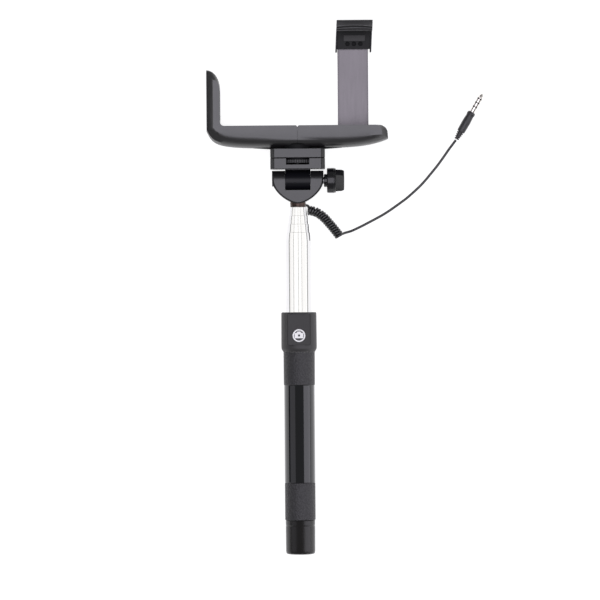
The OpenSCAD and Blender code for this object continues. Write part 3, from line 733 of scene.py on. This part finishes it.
# %% Collar and fork
piece("collar_ring", spun([(0, 48.5), (4.78, 48.5), (4.78, 56.5), (5.2, 56.5, 0.1), (5.45, 56.8, 0.2),
                           (5.45, 57.5, 0.05), (5.32, 57.65), (5.32, 57.9), (5.45, 58.05, 0.05),
                           (5.45, 59.7, 0.2), (5.2, 60.1), (2.5, 60.1), (2.5, 64.5), (0, 64.5)]),
      bronze, "post", ["collar"])
bowl_half, bowl_deep, bowl_points, fork_top = 18, 16.2, 28, 82
ear_r, bolt_r, cheek = 7.0, 2.55, 19
bowl = []
for k in range(-bowl_points, bowl_points + 1):
    down = math.cos(math.pi / 2 * k / bowl_points)
    x = bowl_half * k / bowl_points
    if abs(k) < bowl_points:
        x = math.copysign(bowl_half * (1 - down ** 1.7) ** 0.64, k)
    bowl.append((x, TILT_Y - bowl_deep * down))
ear = [(TILT_Y + ear_r * math.cos(a), AXIS_Z + ear_r * math.sin(a))
       for a in [math.pi / 2 - math.pi * k / 32 for k in range(33)]]


def bowl_ring(z, inset):
    """The bowl's outline at height z, drawn in by some millimetres."""
    narrow, short = 1 - inset / bowl_half, 1 - inset / bowl_deep
    return [Vector((x * narrow, TILT_Y + (y - TILT_Y) * short, z)) for x, y in bowl] + [
        Vector((bowl_half * narrow, fork_top, z)), Vector((-bowl_half * narrow, fork_top, z))]


fork = worked(lofted([bowl_ring(4.4, 2.7), bowl_ring(6.2, 0), bowl_ring(18.55, 0),
                      bowl_ring(20.4, 2.8)]),
              prism(ear + [(58.0, AXIS_Z - 6.8), (58.0, AXIS_Z + 6.8)], -cheek, cheek, "x"),
              operation="INTERSECT")
fork = worked(fork, block((-8.9, 8.9), (68.25, 90), (-1, 26)),
              spun([(0, -cheek), (bolt_r, -cheek), (bolt_r, cheek), (0, cheek)], TILT, 48),
              spun([(0, 57), (5.5, 57), (5.5, 60.1), (2.5, 60.1), (2.5, 64.5), (0, 64.5)]))
piece("fork", fork, head_satin, "post", ["yoke"], edge=0.25)

# %% [markdown]
# The tilt block is a plate with cut corners. The thumbwheel sits in a round well in it,
# which opens through a slot in the front, so the upper part's outline runs round the
# plate, in at the slot and back round the well.

# %% Tilt block
half, corner, low, high = 19.1, 2.6, 1, 23.8
flat = half - corner
well_r, slot_half, well_points = 10.9, 7.9, 60
plate = [(flat, high), (half, high - corner), (half, low + corner), (flat, low),
         (-flat, low), (-half, low + corner), (-half, high - corner), (-flat, high)]
opening = math.acos(slot_half / well_r)
sweep = math.pi + 2 * opening
well = [(well_r * math.cos(opening - sweep * k / well_points) if k else slot_half,
         AXIS_Z + well_r * math.sin(opening - sweep * k / well_points))
        for k in range(well_points + 1)]
walls = [(slot_half, high)] + plate + [(-slot_half, high)] + well[::-1]
plate_y, walls_y = [[(x, -z) for x, z in outline] for outline in (plate, walls)]
base = worked(prism(plate_y, 83.0, 86.2, "y"),
              spun([(0, 84.1), (2.05, 84.1), (2.05, 87), (0, 87)]))
tilt = worked(prism(walls_y, 86.15, 90.55, "y"), base, operation="UNION")
piece("tilt_platform", tilt, head_satin, "tilt_block", ["tilt_block"], edge=0.35,
      edge_steps=3)
step = block((-8.4, 8.4), (82.35, 82.99), (3.6, 21.2))
neck = prism([(TILT_Y, 7.0), (TILT_Y, 17.8), (78.6, 17.6, 1.5), (82.99, 13.0), (82.99, 7.0)],
             -8.84, 8.84, "x")
knuckle = turned([(bolt_r, -8.86), (6.6, -8.86, 0.1), (6.7, -8.76, 0.1), (6.7, 8.76, 0.1),
                  (6.6, 8.86, 0.1), (bolt_r, 8.86)], TILT, 72)
piece("tilt_step", step, head_satin, "tilt_block", edge=0.3)
# painted shade: the knuckle takes the darker copy of the head's satin black
piece("tilt_knuckle", worked(knuckle, neck, operation="UNION"), knuckle_satin, "tilt_block",
      edge=0.3)

# %% [markdown]
# ## Thumbwheel and foot
# A knurled wheel in the block's window turns the camera screw. Its notches are part of
# the outline, so one extrusion makes them all. The foot above it is the same plan with
# a turned boss that plugs up into the holder.

# %% Thumbwheel and foot
def notched(radius, depth, count, per=6):
    """A wheel's outline with some notches round it, each drawn with a few points."""
    out = []
    for k in range(count * per):
        share = (k % per) / per
        dip = depth * max(0.0, 1 - abs(share - 0.5) * 5)
        a = 2 * math.pi * k / (count * per)
        out.append(((radius - dip) * math.cos(a), (radius - dip) * math.sin(a) - AXIS_Z))
    return out


wheel = worked(prism(notched(10.5, 0.45, 36), 87.2, 89.6, "y"),
               spun([(0, 86), (3.175, 86), (3.175, 90), (0, 90)]))
piece("thumb_wheel", wheel, wheel_satin, "wheel", ["thumbwheel"], edge=0.2)
foot_top, boss_r = 97.3, 11
foot = worked(prism(plate_y, 90.87, foot_top, "y"),
              spun([(0, 90), (4.5, 90), (4.5, 97.25), (0, 97.25)]))
piece("foot_plate", foot, head_satin, "holder", ["foot"], edge=0.35, edge_steps=3)
piece("foot_race", turned([(4.6, 89.95), (10.8, 89.95, 0.1), (10.8, 90.86), (4.6, 90.86)]),
      inner_black, "holder")
# A thin dark sheet fills the gap between the foot and the holder's underside: painted shade, a dark sheet
# where there is only shade.
piece("foot_pad", worked(prism([(-19, foot_top), (19, foot_top), (31, 98.1), (-31, 98.1)], 4, 17.5),
                         spun([(0, 97), (11.1, 97), (11.1, 99), (0, 99)])),
      inner_black, "holder")
# The boss is part of the foot, but it takes the darker black as painted shade under the holder's overhang.
piece("foot_boss", spun([(4.5, foot_top), (boss_r, foot_top), (boss_r, 100.75, 0.8), (8.5, 100.75),
                         (8.5, 102.8), (9.8, 102.8), (9.8, 104.55), (0, 104.55), (0, 97.5)]),
      inner_black, "holder")

# %% [markdown]
# ## Tightening knob
# The hub is turned with a fine ridge near its outer face. The wing that the fingers hold
# narrows outwards, so it is a tapered prism with well rounded corners, not a plain bar.

# %% Knob
shank_r, wing_angle = 2.5, 48
hub = turned([(shank_r, 20.4), (8.2, 20.4, 0.2), (8.75, 20.9, 0.5), (8.85, 25.2, 0.2), (8.6, 25.5),
              (8.6, 25.8), (8.75, 26.1, 0.2), (8.4, 26.6, 0.3), (shank_r, 26.6)], TILT, 96)
wing = prism([(26.0, -8.3, 0.3), (26.0, 8.3, 0.3), (30.9, 8.0, 2.0), (32.5, 6.9, 1.0),
              (32.5, -6.9, 1.0), (30.9, -8.0, 2.0)], -2.8, 2.8)
bmesh.ops.rotate(wing, verts=wing.verts, cent=(0, 0, 0),
                 matrix=Matrix.Rotation(math.radians(wing_angle), 3, "X"))
bmesh.ops.translate(wing, verts=wing.verts, vec=(0, TILT_Y, AXIS_Z))
piece("knob_hub", hub, knob_gloss, "knob", ["knob"])
piece("knob_wing", wing, knob_gloss, "knob", edge=0.9, edge_steps=4)
piece("knob_spacer", turned([(shank_r, 18.3), (4.2, 18.3, 0.2), (4.6, 18.7, 0.3), (4.6, 20.35),
                             (shank_r, 20.35)], TILT, 64), knob_gloss, "knob", ["knob_washer"])

# %% [markdown]
# ## Phone holder
# The holder is a tray on a curved beam, moulded in two halves that meet at a seam, with
# an upright arm at the left end. Its section changes with height: the underside bevels
# in towards the front in steps, each along its own flatter curve. So the shell is
# lofted: one outline for each height, bridged to the next, and the tray is cut into it.

# %% Holder outlines
ARM_INNER, TRAY_CORNER, SIDE_CORNER = -54.05, 3, 4.3


def holder_ring(z, low, left, right, tip, shoulder, drop=0.0, top=113.35):
    """One closed outline of the holder at height z; left and right give half widths and rises."""
    out = []
    for k in range(65):
        x = -left[0] + (left[0] + right[0]) * k / 64
        if x < 0:
            u = -x / left[0]
            out.append((x, low + left[1] * (0.42 * u ** 5 + 0.58 * u ** 20)))
        else:
            out.append((x, low + right[1] * (x / right[0]) ** 4.6))
    side = right[0] - 0.4 - SIDE_CORNER
    for k in range(9):
        a = math.pi / 2 * k / 8
        out.append((side + SIDE_CORNER * math.cos(a), top - SIDE_CORNER + SIDE_CORNER * math.sin(a)))
    for k in range(9):
        a = math.radians(270 - 90 * k / 8)
        out.append((ARM_INNER + TRAY_CORNER * (1 + math.cos(a)), top + TRAY_CORNER * (1 + math.sin(a))))
    width = left[0] + ARM_INNER
    for k in range(13):
        a = math.pi / 2 * k / 12
        out.append((-left[0] + width * math.cos(a), shoulder + (tip - shoulder) * math.sin(a)))
    return [Vector((x, y, z - drop * min(1.0, abs(x) / left[0]) ** 6)) for x, y in out]


def holder_skin():
    return lofted([holder_ring(0.0, 100.0, (60.5, 9.6), (60.4, 4.8), 149.5, 138.5),
                   *[holder_ring(z, 98.0, (63.5, 11.6), (63.4, 5.9), 152.6, 139.8)
                     for z in (3.0, 18.0)],
                   holder_ring(21.8, 99.6, (63.3, 11.0), (63.2, 4.9), 152.0, 139.7, drop=0.9),
                   holder_ring(23.8, 102.2, (59.1, 9.8), (60.0, 3.7), 146.8, 139.0),
                   holder_ring(24.8, 105.5, (58.6, 6.4), (59.2, 1.0), 145.4, 138.6)])


print("holder outlines ready")

# %% [markdown]
# Each half keeps its own side of the shell. Then the tray, the boss's seat, the seam's
# groove, the pads' beds and the hollows for the covers and the tape are cut from it. A
# small tongue on the left half stops light from showing through the seam.

# %% Holder halves
def half_holder(side):
    """The left half for side -1, the right half for side 1."""
    def span(a, b):
        return (-b, -a) if side < 0 else (a, b)
    skin = worked(holder_skin(), block(span(0.05, 70), (90, 160), (-1, 30)), operation="INTERSECT")
    return worked(skin,
                  block((ARM_INNER, 70), (109.5, 160), (7.5, 22.0)),
                  spun([(0, 96), (11.02, 96), (11.02, 100.8), (8.52, 100.8), (8.52, 102.8),
                        (9.82, 102.8), (9.82, 104.6), (0, 104.6)]),
                  prism([(-1.1, 113.5), (0, 112.3), (1.1, 113.5)], -1, 26),
                  block((-0.2, 0.2), (101, 114), (24.25, 26)),
                  block((-54.65, -53.9), (117.8, 138.2), (8.8, 20.7)),
                  block(span(3, 51.5), (101.2, 112), (-1, 1.3)),
                  block(span(13, 50.5), (101.8, 105.5), (0.5, 19)),
                  block(span(13, 50.5), (105.0, 111.4), (0.5, 6)))


left_half = joined(half_holder(-1), block((-0.6, 0.045), (105, 109), (1.5, 23.6)),
                   block((-0.6, 0.045), (109, 112.1), (22.3, 24.1)))
right_half = worked(half_holder(1), block((28.1, 50.5), (106, 114), (4.05, 5.45)))
piece("holder_left_half", left_half, holder_satin, "holder", ["holder_left"],
      edge=0.3)
piece("holder_right_half", right_half, holder_satin, "holder", ["holder_right"],
      edge=0.3)

# %% [markdown]
# Two thin covers close the back of the beam, each held by two small cross-head screws.

# %% Back covers and screws
screw_spots = ((7.5, 109.4), (10.5, 104))
screw_r, screw_top = 1.06, 0.9


def cross_head(x, y):
    head = spun([(0, screw_top), (screw_r, screw_top), (screw_r, 0.35, 0.15), (0.8, 0.2, 0.2), (0, 0.12)],
                Matrix.Translation((x, y, 0)), 32)
    return worked(head, block((x - 0.75, x + 0.75), (y - 0.12, y + 0.12), (-1, 0.5)),
                  block((x - 0.12, x + 0.12), (y - 0.75, y + 0.75), (-1, 0.5)))


heads = []
for side in (-1, 1):
    a, b = sorted((side * 3.1, side * 51.4))
    cover = prism([(a, 101.3, 0.6), (b, 101.3, 0.6), (b, 111.9, 0.6), (a, 111.9, 0.6)], 0.0, 1.28)
    holes = [prism(disc(1.3, 32, (side * x, y)), -1, 3) for x, y in screw_spots]
    hand = "left" if side < 0 else "right"
    piece("back_cover_" + hand, worked(cover, *holes), inner_black, "holder",
          [hand + "_back_cover"], edge=0.12)
    heads += [cross_head(side * x, y) for x, y in screw_spots]
    heads += [spun([(0, screw_top), (screw_r, screw_top), (screw_r, 6.2), (0, 6.2)],
                   Matrix.Translation((side * x, y, 0)), 24) for x, y in screw_spots]
piece("cover_screw_heads", joined(*heads), steel, "holder", ["cover_screws"])

# %% [markdown]
# ## Spring tape and hook
# A flat steel tape rolls off a drum in the beam and pulls the hook down on the phone. It
# crosses from the holder to the hook, so it is one finely divided strip that rides on
# neither body.

# %% Spring tape
tape_start, tape_end, tape_low, tape_high, tape_cells = 108.3, 176, 4.62, 4.88, 40
left_edge, right_edge = TAPE_X - TAPE_HALF, TAPE_X + TAPE_HALF
tape = prism([(left_edge, -tape_low), (right_edge, -tape_low), (right_edge, -tape_high),
              (left_edge, -tape_high)], tape_start, tape_end, "y")
for k in range(1, tape_cells):
    y = tape_start + (tape_end - tape_start) * k / tape_cells
    bmesh.ops.bisect_plane(tape, geom=tape.verts[:] + tape.edges[:] + tape.faces[:],
                           plane_co=(0, y, 0), plane_no=(0, 1, 0))
tape_strip = piece("tape_strip", tape, tape_steel, None, ["spring_tape"])
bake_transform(tape_strip)

# %% [markdown]
# The hook is a short channel: a back wall riveted to the tape, a roof that presses on the
# phone and a front lip that holds it in. The lip's face is hollowed by a wide round
# groove, and two side rails run down past the back wall.

# %% Hook
HOOK_X, HOOK_HALF = 40.1, 12.6
LEAN, LEAN_FROM = 0.045, 176
RIVETS = (-4.5, 0, 4.5)
RAIL = 1.1


def leaning(x, y, z):
    """The hook sits a little crooked on the tape, so its sides lean."""
    return Vector((x + (y - LEAN_FROM) * LEAN, y, z))


def hook_section(x):
    """The roof and the lip cut across at x; the lip's edge is arched."""
    arch = ((x - HOOK_X) / HOOK_HALF) ** 2
    corners = [(181.9, 4.9), (186.2, 4.9, 0.6), (186.7, 6.0, 0.5), (186.7, 22.4, 0.5), (186.3, 23.1, 0.3),
               (185.7, 23.4, 0.3), (182.7 - arch, 24.4, 0.5), (181.2 - arch * 0.5, 22.2, 1.2),
               (179.7, 23.4, 0.2), (179.2, 23.5, 0.2), (178.8, 23.2, 0.2), (178.8, 21.4, 0.3),
               (181.9, 21.4, 0.3)]
    return [leaning(x, y, z) for y, z in rounded(corners)]


channel = lofted([hook_section(HOOK_X - HOOK_HALF + 2 * HOOK_HALF * k / 12) for k in range(13)])
x0, x1 = HOOK_X - HOOK_HALF, HOOK_X + HOOK_HALF
rails = [block((x, x + RAIL), (164.9, 181.8), (2.0, 8.3)) for x in (x0, x1 - RAIL)]
back = worked(block((x0 + RAIL + 0.02, x1 - RAIL - 0.02), (167.1, 181.85), (4.9, 7.3)),
              *[prism(disc(1.0, 24, (HOOK_X + dx, 171)), 0, 12) for dx in RIVETS])
tab = block((32.9, 48.0), (172.6, 176.9), (7.32, 7.9))
SHEAR = Matrix(((1, LEAN, 0, -LEAN * LEAN_FROM), (0, 1, 0, 0), (0, 0, 1, 0), (0, 0, 0, 1)))
for part in (*rails, back, tab):
    bmesh.ops.transform(part, verts=part.verts, matrix=SHEAR)
piece("hook_channel", channel, holder_satin, "hook", ["hook"], edge=0.35, edge_steps=3)
# painted shade: the rails take the darker copy of the satin black
piece("hook_rails", joined(*rails), knuckle_satin, "hook", edge=0.2)
# The back wall is the hook's own plastic, darkened as painted shade deep in the channel.
piece("hook_back", back, hook_dark, "hook", edge=0.3)
piece("hook_tab", tab, housing_matte, "hook", edge=0.2)
rivets = joined(*[spun([(0, 2.65), (0.98, 2.65), (0.98, 7.3), (1.6, 7.3), (1.55, 7.5, 0.1),
                        (1.0, 7.7, 0.3), (0, 7.7)], Matrix.Translation((HOOK_X + dx, 170.8, 0)), 32)
                  for dx in RIVETS])
piece("hook_rivet_heads", rivets, inner_black, "hook", ["hook_rivets"])

# %% [markdown]
# ## Plug and strain reliefs
# The plug body is a soft moulding with a waist. Behind it a ribbed sleeve keeps the lead
# from kinking. The pin has four contacts, parted by thin black rings.

# %% Plug
turn = math.radians(59.7)
pin_r, groove_r, groove_w, grooves = 1.75, 1.45, 0.7, (25.8, 29.0, 32.2)
PLUG = Matrix(((math.sin(turn), 0, math.cos(turn), 111.6), (-math.cos(turn), 0, math.sin(turn), 103.5),
               (0, -1, 0, 3.0), (0, 0, 0, 1)))
relief = [(0, 0)]
for k in range(4):
    h = 0.1 + 1.45 * k
    r = 1.6 + 0.22 * k
    relief += [(r, h, 0.1), (r + 0.1, h + 0.85, 0.12), (r - 0.45, h + 0.95), (r - 0.4, h + 1.4)]
relief += [(2.2, 5.98), (0, 5.98)]
piece("plug_sleeve", spun(relief, PLUG, 48), plug_satin, "post", ["plug_relief"])
piece("plug_shell", spun([(0, 6), (2.4, 6, 0.1), (2.75, 6.3, 0.3), (2.8, 8.5, 1), (2.92, 14, 3),
                          (2.6, 19.0, 2), (2.95, 20.4, 0.8), (2.6, 21.7, 0.6), (1.9, 22.0),
                          (0, 22.0)], PLUG, 64),
      plug_satin, "post", ["plug_body"])
pin = [(0, 22), (pin_r, 22)]
for at in grooves:
    pin += [(pin_r, at), (groove_r, at), (groove_r, at + groove_w), (pin_r, at + groove_w)]
pin += [(pin_r, 33.6, 0.2), (1.15, 34.3, 0.3), (1.55, 35.0, 0.3), (0.6, 36.5, 0.3), (0, 36.6)]
piece("plug_contacts", spun(pin, PLUG, 48), nickel, "post", ["plug_pin"])
band_r, gap = 1.745, 0.02
bands = joined(*[turned([(groove_r, at + gap), (band_r, at + gap), (band_r, at + groove_w - gap),
                         (groove_r, at + groove_w - gap)], PLUG, 48) for at in grooves])
piece("plug_bands", bands, inner_black, "post", ["plug_rings"])

# %% [markdown]
# The outlet is a short ribbed nipple on the collar, aimed down to the table.

# %% Cord outlet
away = math.radians(-50)
OUTLET = Matrix(((0, -math.sin(away), math.cos(away), 0), (1, 0, 0, 58),
                 (0, math.cos(away), math.sin(away), AXIS_Z), (0, 0, 0, 1)))
piece("cord_outlet", spun([(0, 5.25), (1.55, 5.25), (1.6, 6.0, 0.2), (1.45, 6.3), (1.5, 6.9, 0.1),
                           (1.3, 7.1), (1.3, 7.7, 0.1), (1.1, 8.15, 0.1), (0, 8.18)], OUTLET, 32),
      cord_skin, "post", ["cord_gland"])

# %% [markdown]
# ## Which lamp lights what
# Each lamp keeps a list of the parts it falls on. Chrome takes its own four lamps. The
# glossy sleeve and the cap take only the side lamps. The flat-faced holder and head take
# only the top one, which keeps their bevels dark, and the round parts take all three.

# %% Light lists
no_top = {"sleeve", "handle_cap"}
sides = no_top | {"shutter_rim", "shutter_sign", "curly_cord", "lower_grip_rubber",
                  "upper_grip_rubber", "switch_housing_body", "collar_ring", "plug_shell",
                  "plug_sleeve", "cord_outlet"}
shown = [obj for obj in scene.objects if obj.type in ("MESH", "CURVE")]
chromed = [obj for obj in shown if obj.data.materials and obj.data.materials[0] == chrome]
others = [obj for obj in shown if obj not in chromed]


def light_only(lamp, objects):
    group = bpy.data.collections.new(lamp.name + "_list")
    for obj in objects:
        group.objects.link(obj)
    lamp.light_linking.receiver_collection = group


light_only(top_lamp, [obj for obj in others if obj.name not in no_top])
for lamp in (left_lamp, right_lamp):
    light_only(lamp, [obj for obj in others if obj.name in sides])
for lamp in chrome_lamps:
    light_only(lamp, chromed)
print("chromed", len(chromed), "others", len(others))
